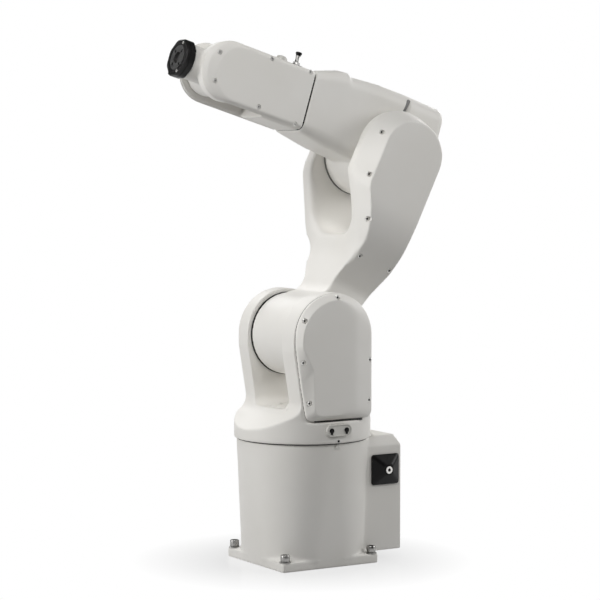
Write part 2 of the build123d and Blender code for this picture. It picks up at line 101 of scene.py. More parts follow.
def new_material(name, colour, roughness, metallic=0.0):
    """A principled material with the constant values on its own sockets."""
    material = bpy.data.materials.new(name)
    material.use_nodes = True
    tree = material.node_tree
    shader = tree.nodes["Principled BSDF"]
    shader.inputs["Base Color"].default_value = (*colour, 1)
    shader.inputs["Roughness"].default_value = roughness
    shader.inputs["Metallic"].default_value = metallic
    material.diffuse_color = (*colour, 1)
    return material, tree, shader


def object_noise(tree, scale, detail=2.0, roughness=0.5):
    where = tree.nodes.new("ShaderNodeTexCoord")
    noise = tree.nodes.new("ShaderNodeTexNoise")
    noise.inputs["Scale"].default_value = scale
    noise.inputs["Detail"].default_value = detail
    noise.inputs["Roughness"].default_value = roughness
    tree.links.new(where.outputs["Object"], noise.inputs["Vector"])
    return noise.outputs["Fac"]


def remap(tree, value, low, high, to_low, to_high):
    node = tree.nodes.new("ShaderNodeMapRange")
    node.inputs["From Min"].default_value = low
    node.inputs["From Max"].default_value = high
    node.inputs["To Min"].default_value = to_low
    node.inputs["To Max"].default_value = to_high
    tree.links.new(value, node.inputs["Value"])
    return node.outputs["Result"]


def stretched(tree, noise, to_low, to_high, spread=NOISE_SPREAD):
    """The middle part of a noise's range stretched to two values."""
    return remap(tree, noise, 0.5 - spread, 0.5 + spread, to_low, to_high)


def blend_colours(tree, factor, first, second):
    node = tree.nodes.new("ShaderNodeMix")
    node.data_type = "RGBA"
    tree.links.new(factor, node.inputs[0])
    for socket, colour in ((node.inputs[6], first), (node.inputs[7], second)):
        if isinstance(colour, tuple):
            socket.default_value = (*colour, 1)
        else:
            tree.links.new(colour, socket)
    return node.outputs[2]


def feed(tree, value, shader, socket_name):
    tree.links.new(value, shader.inputs[socket_name])


def add_bump(tree, shader, height, strength, distance):
    bump = tree.nodes.new("ShaderNodeBump")
    bump.inputs["Strength"].default_value = strength
    bump.inputs["Distance"].default_value = distance
    tree.links.new(height, bump.inputs["Height"])
    feed(tree, bump.outputs["Normal"], shader, "Normal")


def paint_material():
    """Satin warm-white enamel: cloudy tone, fine orange peel, and painted shade that darkens the creases."""
    material, tree, shader = new_material("arm_paint", PAINT, 0.54)
    cloud = stretched(tree, object_noise(tree, scale=7, detail=3), 0, 1, CLOUD_SPREAD)
    tone = blend_colours(tree, cloud, PAINT, PAINT_PALE)
    # Painted shade: ambient occlusion darkens the paint's colour in the creases
    crease = tree.nodes.new("ShaderNodeAmbientOcclusion")
    crease.samples = 4
    crease.only_local = True
    crease.inputs["Distance"].default_value = CREASE_SHADE_REACH
    crease_shade = remap(tree, crease.outputs["AO"], 0.35, 0.95, CREASE_SHADE_MOST, 0)
    feed(tree, blend_colours(tree, crease_shade, tone, CREASE_SHADE), shader, "Base Color")
    feed(tree, stretched(tree, object_noise(tree, scale=42), 0.48, 0.60), shader, "Roughness")
    add_bump(tree, shader, object_noise(tree, scale=700), strength=0.12, distance=0.0004)
    return material


def rubber_material():
    """Black seal rubber with a dull bloom, also laid as painted shade in seams, gaps and screw sockets."""
    material, tree, shader = new_material("seal_black", RUBBER, 0.6)
    cloud = stretched(tree, object_noise(tree, scale=60), 0, 1)
    feed(tree, blend_colours(tree, cloud, RUBBER_DARK, RUBBER_PALE), shader, "Base Color")
    grain = object_noise(tree, scale=900)
    feed(tree, stretched(tree, grain, 0.5, 0.72), shader, "Roughness")
    add_bump(tree, shader, grain, strength=0.2, distance=0.0002)
    return material


def plastic_material(name, dark, light, smooth, rough, grain_scale, strength, shine=0.5):
    """Moulded plastic or a hard coating: two close tones and a fine grain."""
    material, tree, shader = new_material(name, dark, (smooth + rough) / 2)
    shader.inputs["Specular IOR Level"].default_value = shine
    cloud = stretched(tree, object_noise(tree, scale=30, detail=3), 0, 1, CLOUD_SPREAD)
    feed(tree, blend_colours(tree, cloud, dark, light), shader, "Base Color")
    grain = object_noise(tree, grain_scale)
    feed(tree, stretched(tree, grain, smooth, rough), shader, "Roughness")
    add_bump(tree, shader, grain, strength, distance=0.0003)
    return material


def metal_material(name, dark, light, smooth, rough):
    """Turned metal with fine tool marks."""
    material, tree, shader = new_material(name, light, rough, metallic=1.0)
    marks = object_noise(tree, scale=420, detail=4, roughness=0.7)
    feed(tree, blend_colours(tree, stretched(tree, marks, 0, 1), dark, light), shader, "Base Color")
    feed(tree, stretched(tree, object_noise(tree, scale=160, detail=3), smooth, rough), shader, "Roughness")
    add_bump(tree, shader, marks, strength=0.08, distance=0.0002)
    return material


MATERIALS = {
    "arm_paint": paint_material(),
    "seal_black": rubber_material(),
    # This grey serves the elbow seals and is also laid as painted shade in the elbow's groove
    "seal_and_shade_grey": plastic_material("seal_and_shade_grey", dark=(0.20, 0.199, 0.195), light=(0.26, 0.258, 0.252),
                                  smooth=0.5, rough=0.7, grain_scale=700, strength=0.1, shine=0.3),
    "bolt_zinc": metal_material("bolt_zinc", dark=(0.26, 0.255, 0.25), light=(0.46, 0.455, 0.44),
                                smooth=0.30, rough=0.46),
    "black_plastic": plastic_material("black_plastic", dark=(0.005, 0.005, 0.005),
                                      light=(0.009, 0.009, 0.009), smooth=0.26, rough=0.40,
                                      grain_scale=520, strength=0.12, shine=0.14),
    "pale_plastic": plastic_material("pale_plastic", dark=(0.58, 0.57, 0.53), light=(0.68, 0.67, 0.63),
                                     smooth=0.25, rough=0.42, grain_scale=350, strength=0.08),
    "steel": metal_material("steel", dark=(0.68, 0.67, 0.645), light=(0.88, 0.87, 0.84),
                            smooth=0.28, rough=0.44),
    "black_anodised": plastic_material("black_anodised", dark=(0.006, 0.006, 0.006),
                                       light=(0.013, 0.012, 0.012), smooth=0.30, rough=0.46,
                                       grain_scale=900, strength=0.10, shine=0.22),
    "plate_grey": metal_material("plate_grey", dark=(0.20, 0.20, 0.195), light=(0.32, 0.315, 0.31),
                                 smooth=0.34, rough=0.5),
    "disc_grey": metal_material("disc_grey", dark=(0.11, 0.11, 0.108), light=(0.20, 0.198, 0.195),
                                smooth=0.34, rough=0.5),
}


# Closed loops of points; those with as many points as a circle can be skinned together
def circle(radius, height):
    turns = [2 * math.pi * i / ROUND for i in range(ROUND)]
    return [(radius * math.cos(turn), radius * math.sin(turn), height) for turn in turns]


def polygon(sides, across, height, limit=math.inf):
    """A regular polygon by its width across flats, its corners cut round at a limiting radius."""
    points = []
    for i in range(ROUND):
        angle = 2 * math.pi * i / ROUND
        wedge = (angle + math.pi / sides) % (2 * math.pi / sides) - math.pi / sides
        reach = min(limit, across / 2 / math.cos(wedge))
        points.append((reach * math.cos(angle), reach * math.sin(angle), height))
    return points


def knurled(radius, height, depth):
    """A circle with every second point pulled in."""
    points = []
    for i, (x, y, z) in enumerate(circle(radius, height)):
        share = 1 - depth / radius * (i % 2)
        points.append((x * share, y * share, z))
    return points


def rounded(length, width, radius, height):
    """A rectangle with round corners."""
    points = []
    for x, y, z in circle(radius, height):
        along = x + math.copysign(length / 2 - radius, x)
        across = y + math.copysign(width / 2 - radius, y)
        points.append((along, across, z))
    return points


def obround(length, width, height):
    """A slot's outline, with half-round ends."""
    return rounded(length, width, width / 2, height)


def keyhole(radius, reach, height):
    """A circle with a short lobe hanging down from it."""
    lowest = 3 * ROUND / 4
    half_lobe = ROUND / 16
    points = []
    for i, (x, y, z) in enumerate(circle(radius, height)):
        drop = reach - radius if abs(i - lowest) <= half_lobe else 0
        points.append((x, y - drop, z))
    return points


def skin(bm, loops, place):
    """A closed skin through loops of points, set in place by a matrix in metres."""
    rows = [[bm.verts.new(place @ (Vector(point) * MM)) for point in loop] for loop in loops]
    for first, second in zip(rows, rows[1:]):
        for i in range(len(first)):
            j = (i + 1) % len(first)
            bm.faces.new((first[i], first[j], second[j], second[i]))
    bm.faces.new(rows[0][::-1])
    bm.faces.new(rows[-1])


def lathe(bm, profile, place):
    """A turned shape from rows of radius and height."""
    skin(bm, [circle(radius, height) for radius, height in profile], place)


# Places
def looking(frame_matrix, point, direction):
    """A place in a frame whose own +Z looks along a direction of that frame."""
    turn = Vector(direction).to_track_quat("Z", "Y").to_matrix().to_4x4()
    return frame_matrix @ Matrix.Translation(Vector(point) * MM) @ turn


def moved(place, x=0.0, y=0.0, z=0.0):
    """The same place moved along its own axes."""
    return place @ Matrix.Translation(Vector((x, y, z)) * MM)


def spun(place, degrees):
    """The same place turned about its own +Z."""
    return place @ Matrix.Rotation(math.radians(degrees), 4, "Z")


def box_of(node_name):
    """The low and high corners of a CAD node's box at rest."""
    low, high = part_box(node_name)
    return low / MM, high / MM


def middle_of(node_name):
    """The middle of a CAD node's box at rest."""
    low, high = box_of(node_name)
    return (low + high) / 2


# Pieces
SMOOTH_FACTOR = 0.5
SHARP_ANGLE = 40
SAME_POINT = 1e-6
SEAT_TURN = 37
POCKET_HEIGHT = 40
HEAD_EDGE = 0.12
SOCKET_TAPER = 0.96
SOCKET_FLOOR = 0.4
# Painted shade: the black hexagon that darkens each screw socket, its width as a share of the socket and its
# ends as shares of the head's height
SOCKET_SHADE_ACROSS = 0.94
SOCKET_SHADE_LOW = 0.3
SOCKET_SHADE_HIGH = 0.6


def mesh_from(bm, name):
    bmesh.ops.recalc_face_normals(bm, faces=bm.faces)
    mesh = bpy.data.meshes.new(name)
    bm.to_mesh(mesh)
    bm.free()
    return mesh


def finished(name, mesh, body, slot, replaced=()):
    """A mesh as a piece of the model: shaded, painted, riding a body and standing for CAD nodes."""
    mesh.name = name
    mesh.shade_smooth()
    mesh.set_sharp_from_angle(angle=math.radians(SHARP_ANGLE))
    mesh.materials.clear()
    mesh.materials.append(MATERIALS[slot])
    piece = bpy.data.objects.new(name, mesh)
    scene.collection.objects.link(piece)
    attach(piece, body)
    if replaced:
        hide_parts(*replaced)


def baked(mesh, add_modifiers):
    """The mesh as it is after the modifiers that a function puts on it."""
    work = bpy.data.objects.new("work", mesh)
    scene.collection.objects.link(work)
    add_modifiers(work)
    bpy.context.view_layer.update()
    done = bpy.data.meshes.new_from_object(work.evaluated_get(bpy.context.evaluated_depsgraph_get()))
    bpy.data.objects.remove(work)
    return done


def soft_skin(sources, voxel, rounds, lumps=()):
    """One soft-edged skin round CAD nodes and added lumps, from voxels smoothed for some rounds."""
    bm = bmesh.new()
    for source in sources:
        bm.from_mesh(nodes[source].data)
    for lump in lumps:
        bm.from_mesh(lump)
    bmesh.ops.remove_doubles(bm, verts=bm.verts, dist=SAME_POINT)
    mesh = bpy.data.meshes.new("raw")
    bm.to_mesh(mesh)
    bm.free()
    if "custom_normal" in mesh.attributes:
        mesh.attributes.remove(mesh.attributes["custom_normal"])

    def add_modifiers(work):
        remesh = work.modifiers.new("voxel", "REMESH")
        remesh.mode = "VOXEL"
        remesh.voxel_size = voxel * MM
        remesh.adaptivity = 0
        smooth = work.modifiers.new("smooth", "SMOOTH")
        smooth.factor = SMOOTH_FACTOR
        smooth.iterations = rounds

    return baked(mesh, add_modifiers)


def softened(mesh, frame_matrix, weight_of, rounds):
    """The mesh smoothed further where a function of a point in a frame says so."""
    inverse = frame_matrix.inverted()

    def add_modifiers(work):
        group = work.vertex_groups.new(name="soft")
        for vertex in mesh.vertices:
            weight = weight_of(inverse @ vertex.co / MM)
            if weight > 0:
                group.add([vertex.index], weight, "REPLACE")
        smooth = work.modifiers.new("smooth", "SMOOTH")
        smooth.factor = SMOOTH_FACTOR
        smooth.iterations = rounds
        smooth.vertex_group = "soft"

    return baked(mesh, add_modifiers)


def ramp(value, start, end):
    """0 up to a start and 1 from an end on, which may lie either way."""
    return min(1.0, max(0.0, (value - start) / (end - start)))


def seats_on(mesh, frame_matrix, points, direction, depth):
    """Places sunk by a depth into a mesh, under points that look down on it against a direction."""
    corners = [vertex.co for vertex in mesh.vertices]
    tree = BVHTree.FromPolygons(corners, [face.vertices for face in mesh.polygons])
    outward = (frame_matrix.to_3x3() @ Vector(direction)).normalized()
    seats = []
    for number, point in enumerate(points):
        start = frame_matrix @ (Vector(point) * MM) + outward
        spot = tree.ray_cast(start, -outward)[0] - outward * depth * MM
        seats.append(spun(looking(WORLD, spot / MM, outward), SEAT_TURN * number))
    return seats


def pockets(seats, radius):
    """Round cutters standing on seats."""
    return [([circle(radius, 0), circle(radius, POCKET_HEIGHT)], seat) for seat in seats]


def cut(mesh, cutters):
    """The mesh with closed skins, given as loops and place, cut out of it."""
    bm = bmesh.new()
    for loops, place in cutters:
        skin(bm, loops, place)
    cutter = bpy.data.objects.new("cutter", mesh_from(bm, "cutter"))
    scene.collection.objects.link(cutter)

    def add_modifiers(work):
        boolean = work.modifiers.new("cut", "BOOLEAN")
        boolean.operation = "DIFFERENCE"
        boolean.solver = "EXACT"
        boolean.object = cutter

    done = baked(mesh, add_modifiers)
    bpy.data.objects.remove(cutter)
    return done


def turned(name, body, slot, profile, places, replaced=()):
    """The same turned shape at each of some places, as one piece."""
    bm = bmesh.new()
    for place in places:
        lathe(bm, profile, place)
    finished(name, mesh_from(bm, name), body, slot, replaced)


def skinned(name, body, slot, loops, places, replaced=()):
    """The same skinned shape at each of some places, as one piece."""
    bm = bmesh.new()
    for place in places:
        skin(bm, loops, place)
    finished(name, mesh_from(bm, name), body, slot, replaced)


def cap_screw(bm, place, radius, height, across, knurl=0.0):
    """A screw head with a hexagon socket."""
    edge = radius * HEAD_EDGE
    loops = [circle(radius - edge, 0), knurled(radius, edge, knurl), knurled(radius, height - edge, knurl),
             circle(radius - edge, height), polygon(HEX, across, height),
             polygon(HEX, across * SOCKET_TAPER, height * SOCKET_FLOOR)]
    skin(bm, loops, place)


def screws(name, body, seats, radius, height, across):
    """Screw heads on some seats, with a black hexagon sunk in each socket as painted shade, as a second
    piece.
    """
    bm = bmesh.new()
    for seat in seats:
        cap_screw(bm, seat, radius, height, across)
    finished(name, mesh_from(bm, name), body, "steel")
    # Painted shade: a black hexagon in each socket makes it dark
    shade_across = across * SOCKET_SHADE_ACROSS
    skinned(name + "_socket_shade", body, "seal_black",
            [polygon(HEX, shade_across, height * SOCKET_SHADE_LOW), polygon(HEX, shade_across, height * SOCKET_SHADE_HIGH)], seats)


# Finish of every CAD node that stays in view
NODES_OF = {"seal_black": ["waist_seal", "shoulder_seals", "roll_seal"],
            "seal_and_shade_grey": ["elbow_seals"],
            "steel": ["brake_button"],
            "plate_grey": ["connector_plate"],
            "disc_grey": ["flange_disc"]}
for node in nodes.values():
    node.data.materials.clear()
    node.data.materials.append(MATERIALS["arm_paint"])
for slot_name, names in NODES_OF.items():
    for node_name in names:
        nodes[node_name].data.materials[0] = MATERIALS[slot_name]


# Base: column on its foot plate, with hollow fillets at the corners
PLATE_TOP = 16
CORNER_CENTRE = 24.6
CORNER_R = 74.3
FILLET = 11
FILLET_LEAST = 0.3
FILLET_SHARE = 0.6
FILLET_INSIDE = -9
FILLET_SUNK = 3
FILLET_STEPS = 24
ARC_STEPS = 6


def foot_fillet(x_side, y_side):
    """The hollow fillet round one corner of the column, as wide as the plate leaves room for."""
    rows = []
    for step in range(FILLET_STEPS + 1):
        turn = math.radians(90 * step / FILLET_STEPS)
        room = CORNER_R * (1 / max(math.cos(turn), math.sin(turn)) - 1)
        size = max(FILLET_LEAST, min(FILLET, FILLET_SHARE * room))
        profile = [(FILLET_INSIDE, PLATE_TOP + size), (FILLET_INSIDE, PLATE_TOP - FILLET_SUNK),
                   (size, PLATE_TOP - FILLET_SUNK)]
        for part in range(ARC_STEPS + 1):
            angle = math.radians(90 * part / ARC_STEPS)
            profile.append((size * (1 - math.sin(angle)), PLATE_TOP + size * (1 - math.cos(angle))))
        row = []
        for out, height in profile:
            x = CORNER_CENTRE + (CORNER_R + out) * math.cos(turn)
            y = CORNER_CENTRE + (CORNER_R + out) * math.sin(turn)
            row.append((x_side * x, y_side * y, height))
        rows.append(row)
    bm = bmesh.new()
    skin(bm, rows, WORLD)
    return mesh_from(bm, "fillet")


corners = [(x, y) for x in (-1, 1) for y in (-1, 1)]
fillets = [foot_fillet(x, y) for x, y in corners]
base_mesh = soft_skin(["base_housing"], voxel=2.2, rounds=3, lumps=fillets)
finished("base_cast", base_mesh, "base", "arm_paint", ["base_housing"])

# Base: foot bolts on washers, in the spot faces of the plate
BOLT_X = mounts["foot_bolts"]["dims"]["spacing_x_mm"] / 2
BOLT_Y = mounts["foot_bolts"]["dims"]["spacing_y_mm"] / 2
SPOT_FACE = PLATE_TOP - 0.5
WASHER_THICK = 2
foot = [looking(WORLD, (x * BOLT_X, y * BOLT_Y, SPOT_FACE), UP) for x, y in corners]
turned("foot_washers", "base", "bolt_zinc", [(9.6, 0), (10, 0.3), (10, 1.7), (9.6, WASHER_THICK)], foot)
bm = bmesh.new()
for place in foot:
    cap_screw(bm, moved(place, z=WASHER_THICK), radius=8, height=12, across=8, knurl=0.35)
    lathe(bm, [(4.6, -14), (5, -13.4), (5, 2.2)], place)
finished("foot_bolts", mesh_from(bm, "foot_bolts"), "base", "bolt_zinc")

# Base: brake guard and its button
BUTTON_SUNK = 0.8
guard_mesh = soft_skin(["brake_guard"], voxel=1.1, rounds=2)
finished("brake_guard_shell", guard_mesh, "base", "black_plastic", ["brake_guard"])
button_back = box_of("brake_button")[0].y
button_middle = middle_of("brake_button")
button = looking(WORLD, (button_middle.x, button_back + BUTTON_SUNK, button_middle.z), LEFT)
turned("button_core", "base", "black_plastic", [(2.9, 0), (2.9, 0.8), (2.3, 1.2)], [button])

# Base: the connectors at the back
CONNECTOR_KNURL = 0.4
POWER_PINS = 6
POWER_PIN_R = 7.5
POWER_INSERT = 12
SIGNAL_FACE = 8
SIGNAL_SCREW_X = 20
AIR_PORTS = 4
AIR_PORT_WIDTH = 12
PANEL_SCREW_IN = 7


def at_back(node_name):
    """The place on the connector plate behind a node, looking out of the back."""
    middle = middle_of(node_name)
    return looking(WORLD, (box_of(node_name)[1].x, middle.y, middle.z), BACK)


power = at_back("power_connector")
skinned("power_shell", "base", "steel",
        [rounded(39, 39, 4, 0), rounded(40, 40, 4.5, 0.6), rounded(40, 40, 4.5, 2.4), rounded(39, 39, 4, 3),
         circle(15.2, 3), circle(15.2, 6), knurled(16, 6.6, CONNECTOR_KNURL),
         knurled(16, 15.4, CONNECTOR_KNURL), circle(15.2, 16.2), circle(15.2, 17.4), circle(14.6, 18),
         circle(13, 18), circle(12.6, 17.5), circle(12.6, 6)], [power], ["power_connector"])
turned("power_insert", "base", "black_plastic", [(12.5, 6), (12.5, 11.6), (12.1, POWER_INSERT)], [power])
pins = []
for i in range(POWER_PINS):
    turn = 2 * math.pi * i / POWER_PINS
    pins.append(moved(power, POWER_PIN_R * math.cos(turn), POWER_PIN_R * math.sin(turn), POWER_INSERT))
turned("power_pins", "base", "steel", [(1.1, -0.5), (1.1, 3.6), (0.6, 4.2)], pins)

signal = at_back("signal_connector")
skinned("signal_shell", "base", "black_plastic",
        [rounded(45, 21, 3, 0), rounded(46, 22, 3.5, 0.6), rounded(46, 22, 3.5, SIGNAL_FACE),
         rounded(34, 18, 3, 8.6), rounded(34, 18, 3, 11.4), rounded(33, 17, 2.6, 12), rounded(30, 14, 2, 12),
         rounded(29.4, 13.4, 2, 11.4), rounded(29.4, 13.4, 2, 7)], [signal], ["signal_connector"])
signal_seats = [moved(signal, x, z=SIGNAL_FACE) for x in (-SIGNAL_SCREW_X, SIGNAL_SCREW_X)]
screws("signal_screws", "base", signal_seats, radius=2.4, height=2, across=2)

network = at_back("network_connector")
skinned("network_shell", "base", "steel",
        [polygon(HEX, 17.2, 0), polygon(HEX, 17.2, 3.4), circle(7.4, 3.6), circle(7.4, 5),
         knurled(8.6, 5.4, CONNECTOR_KNURL), knurled(8.6, 11, CONNECTOR_KNURL), circle(7.8, 12),
         circle(6.2, 12), circle(5.9, 11.6), circle(5.9, 4)], [network], ["network_connector"])
turned("network_insert", "base", "black_plastic", [(5.8, 4), (5.8, 8.6), (5.4, 9)], [network])

air_low, air_high = box_of("air_ports")
air_span = air_high.y - air_low.y - AIR_PORT_WIDTH
air = [moved(at_back("air_ports"), (i / (AIR_PORTS - 1) - 0.5) * air_span) for i in range(AIR_PORTS)]
skinned("air_port_fittings", "base", "steel",
        [polygon(HEX, 10.4, 0), polygon(HEX, 10.4, 5), circle(5.6, 5.4), circle(5.6, 9.4), circle(5, 9.8),
         circle(5, 12.4), circle(4.5, 13), circle(2.8, 13), circle(2.5, 12.6), circle(2.5, 5)],
        air, ["air_ports"])

panel_low, panel_high = box_of("connector_plate")
panel_seats = [looking(WORLD, (panel_low.x, y, z), BACK)
               for y in (panel_low.y + PANEL_SCREW_IN, panel_high.y - PANEL_SCREW_IN)
               for z in (panel_low.z + PANEL_SCREW_IN, panel_high.z - PANEL_SCREW_IN)]
screws("panel_screws", "base", panel_seats, radius=3.4, height=2.2, across=3)

# Turret: casting and shoulder cover. Its screws are rows of x and height over axis 2
SHOULDER_SCREWS = [(66, 34.9), (68, -37.1), (56, -107.1), (0, 72.9), (-70, -38.1), (-68, -108.1)]
COVER_REAR = (-2, -24)
COVER_FACE = (4.7, 8.7)
cover_low = box_of("shoulder_cover")[0]
cover_middle = middle_of("shoulder_cover")


def cover_rear(point):
    """How far a point belongs to the soft rear edge of the shoulder cover's face."""
    return ramp(point.x, *COVER_REAR) * ramp(point.y - cover_low.y, *COVER_FACE)


turret_mesh = soft_skin(["turret_casting"], voxel=2.1, rounds=6)
finished("turret_cast", turret_mesh, "turret", "arm_paint", ["turret_casting"])
cover_mesh = soft_skin(["shoulder_cover"], voxel=1.4, rounds=2)
cover_mesh = softened(cover_mesh, WORLD, cover_rear, rounds=265)
shoulder_points = [(x, 0, z) for x, z in SHOULDER_SCREWS]
shoulder_seats = seats_on(cover_mesh, Matrix.Translation(AXIS_2), shoulder_points, LEFT, depth=3.5)
cover_mesh = cut(cover_mesh, pockets(shoulder_seats, radius=4.5))
finished("shoulder_cover_cast", cover_mesh, "turret", "arm_paint", ["shoulder_cover"])
screws("shoulder_screws", "turret", shoulder_seats, radius=4, height=3.4, across=4)

# Turret: black sheets as painted shade, one behind the shoulder cover that shows in the seam round it and
# one on the ledge in the gap under it
SEAM_SHADE_INSET = 0.45
SEAM_SHADE_BEHIND = 1
SEAM_SHADE_BEFORE = 1.2
ON_SEAT = 0.01
LEDGE_GAP = 3
LEDGE_X = -8
LEDGE_LENGTH = 96
LEDGE_DEPTH = 6.5
LEDGE_BEHIND = 0.8
LEDGE_CORNER_R = 2
LEDGE_SUNK = 0.4
LEDGE_LAP = 0.2


def seat_rim():
    """The points of the shoulder cover's seat in the side view, in order round its middle."""
    rim = set()
    for vertex in nodes["shoulder_cover"].data.vertices:
        if vertex.co.y / MM < cover_low.y + ON_SEAT:
            rim.add((round(vertex.co.x / MM, 2), round(vertex.co.z / MM, 2)))
    return sorted(rim, key=lambda spot: math.atan2(spot[1] - cover_middle.z, spot[0] - cover_middle.x))


def seam_shade_loop(y):
    """The outline of the shoulder cover's seat, a little smaller, at a place along Y."""
    loop = []
    for x, z in seat_rim():
        spoke = Vector((x - cover_middle.x, 0, z - cover_middle.z))
        spoke -= spoke.normalized() * SEAM_SHADE_INSET
        loop.append((cover_middle.x + spoke.x, y, cover_middle.z + spoke.z))
    return loop


# Painted shade: a black sheet behind the cover darkens the seam round it
skinned("shoulder_seam_shade", "turret", "seal_black",
        [seam_shade_loop(cover_low.y - SEAM_SHADE_BEHIND), seam_shade_loop(cover_low.y + SEAM_SHADE_BEFORE)], [WORLD])
# Painted shade: a black sheet on the ledge darkens the gap under the cover
ledge_y = cover_low.y + LEDGE_DEPTH / 2 - LEDGE_BEHIND
ledge = looking(WORLD, (LEDGE_X, ledge_y, cover_low.z - LEDGE_GAP), UP)
skinned("shoulder_ledge_shade", "turret", "seal_black",
        [rounded(LEDGE_LENGTH, LEDGE_DEPTH, LEDGE_CORNER_R, -LEDGE_SUNK),
         rounded(LEDGE_LENGTH, LEDGE_DEPTH, LEDGE_CORNER_R, LEDGE_GAP + LEDGE_LAP)], [ledge])

# Turret: panel on the floor between the towers
VALLEY_DROP = 124.1
VALLEY_PANEL_X = 32
VALLEY_PANEL_THICK = 1.6
VALLEY_PANEL_SUNK = 0.4
VALLEY_SCREW_Y = 20
valley_floor = AXIS_2.z / MM - VALLEY_DROP
valley_panel = looking(WORLD, (VALLEY_PANEL_X, 0, valley_floor - VALLEY_PANEL_SUNK), UP)
skinned("valley_panel", "turret", "arm_paint",
        [rounded(46, 52, 5, 0), rounded(46, 52, 5, 1.2), rounded(45, 51, 4.5, VALLEY_PANEL_THICK)],
        [valley_panel])
valley_seats = [moved(valley_panel, y=y, z=VALLEY_PANEL_THICK) for y in (VALLEY_SCREW_Y, -VALLEY_SCREW_Y)]
screws("valley_screws", "turret", valley_seats, radius=3.2, height=1.8, across=3)

# Turret: port plate with its plugs
PLUG_X = 15
port_low, port_high = box_of("port_plate")
port = looking(WORLD, (0, port_low.y, middle_of("port_plate").z), LEFT)
skinned("port_plate_rim", "turret", "pale_plastic",
        [obround(51, 21, 0), obround(51, 21, 5.2), obround(50, 20, 6), obround(47.6, 17.6, 6),
         obround(46.4, 16.4, 5)], [port], ["port_plate"])
skinned("port_plug_caps", "turret", "black_plastic",
        [keyhole(4.3, 7, 4.8), keyhole(4.3, 7, 6.2), keyhole(3.6, 6.2, 6.5)],
        [moved(port, x) for x in (-PLUG_X, PLUG_X)], ["port_plugs"])

# Waist: mark on the turret, a black dot as painted shade for its drilled hole, and tab on the base
PORT_PROUD = 2
MARK_RISE = 4.4
TAB_TOP = 1.2
TAB_FOOT = 5
TAB_HEIGHT = 7
TAB_DROP = 2
TAB_SUNK = 4
waist = joints["axis_1"]["pos_m"][2] / MM
skirt_r = port_high.y - PORT_PROUD


def tab_loop(inset, depth):
    """The tab's outline, narrow at the top and wide at the foot, where it may be pulled in."""
    foot_x = TAB_FOOT - inset
    foot_y = inset - TAB_HEIGHT
    return [(-TAB_TOP, 0, depth), (TAB_TOP, 0, depth), (foot_x, foot_y, depth), (-foot_x, foot_y, depth)]


# Painted shade: a black dot stands for the shade in the mark's drilled hole
turned("waist_mark_hole_shade", "turret", "black_plastic", [(2.1, -1.5), (2.1, 0.6), (1.5, 1)],
       [looking(WORLD, (0, skirt_r, waist + MARK_RISE), LEFT)])
skinned("waist_tab", "base", "pale_plastic", [tab_loop(0, -4), tab_loop(0, 0), tab_loop(0.6, 0.6)],
        [looking(WORLD, (0, skirt_r - TAB_SUNK, waist - TAB_DROP), LEFT)])

# Lower arm: casting and near cover in one skin. Its screws are rows of x and z in the arm's frame
ARM_SCREWS = [(67, 364), (63, 285), (30, 215), (1, 156), (-65, 158)]
SCOOP_FRONT = (-35, -5)
SCOOP_RIGHT = (-84, -72)
SCOOP_LEFT = (88, 70)
SCOOP_LOW = (135, 165)
SCOOP_HIGH = (285, 240)


def fork_front(point):
    """How far a point belongs to the scooped front of the fork."""
    across = ramp(point.y, *SCOOP_RIGHT) * ramp(point.y, *SCOOP_LEFT)
    along = ramp(point.z, *SCOOP_LOW) * ramp(point.z, *SCOOP_HIGH)
    return across * along * ramp(point.x, *SCOOP_FRONT)


arm_mesh = soft_skin(["lower_arm_casting", "lower_arm_cover"], voxel=2.1, rounds=3)
arm_mesh = softened(arm_mesh, LOWER_ARM, fork_front, rounds=310)
arm_seats = seats_on(arm_mesh, LOWER_ARM, [(x, 0, z) for x, z in ARM_SCREWS], LEFT, depth=3.5)
arm_mesh = cut(arm_mesh, pockets(arm_seats, radius=4.4))
finished("lower_arm_cast", arm_mesh, "lower_arm", "arm_paint", ["lower_arm_casting", "lower_arm_cover"])
screws("lower_arm_screws", "lower_arm", arm_seats, radius=3.9, height=3.2, across=4)

# Screws of the plain caps on the far side
CAP_SCREWS = 6


def cap_screws(name, body, axis, cap_name, pitch_r):
    """Screws round a cap that looks along -Y."""
    face_y = box_of(cap_name)[0].y
    places = []
    for i in range(CAP_SCREWS):
        turn = 2 * math.pi * i / CAP_SCREWS
        spot = (axis.x / MM + pitch_r * math.cos(turn), face_y, axis.z / MM + pitch_r * math.sin(turn))
        places.append(looking(WORLD, spot, RIGHT))
    screws(name, body, places, radius=4, height=2.2, across=4)


cap_screws("shoulder_far_screws", "turret", AXIS_2, "shoulder_far_cover", pitch_r=53)
cap_screws("elbow_far_screws", "lower_arm", AXIS_3, "elbow_far_cap", pitch_r=49)

# Elbow: housing and rear cap in one skin, with the cable groove near the top and a grey strip in it as
# painted shade
GROOVE_PLACE = (-4, 55, 96)
GROOVE_LEAN = -14
GROOVE_FLOOR = -5
GROOVE_OUTSIDE = 30
SHADE_STRIP_DROP = -4
REAR_SCREW_Y = (-36, 36)
REAR_SCREW_N = (14, 92)
groove = spun(looking(FOREARM, GROOVE_PLACE, LEFT), GROOVE_LEAN)
elbow_mesh = soft_skin(["elbow_housing", "elbow_rear_cap"], voxel=1.9, rounds=4)
rear_points = [(0, y, n) for y in REAR_SCREW_Y for n in REAR_SCREW_N]
rear_seats = seats_on(elbow_mesh, FOREARM, rear_points, BACK, depth=2)
groove_cutter = ([rounded(8, 44, 2, GROOVE_FLOOR), rounded(8, 44, 2, GROOVE_OUTSIDE)], groove)
elbow_mesh = cut(elbow_mesh, pockets(rear_seats, radius=4.4) + [groove_cutter])
finished("elbow_cast", elbow_mesh, "elbow", "arm_paint", ["elbow_housing", "elbow_rear_cap"])
screws("elbow_rear_screws", "elbow", rear_seats, radius=3.9, height=2.4, across=4)
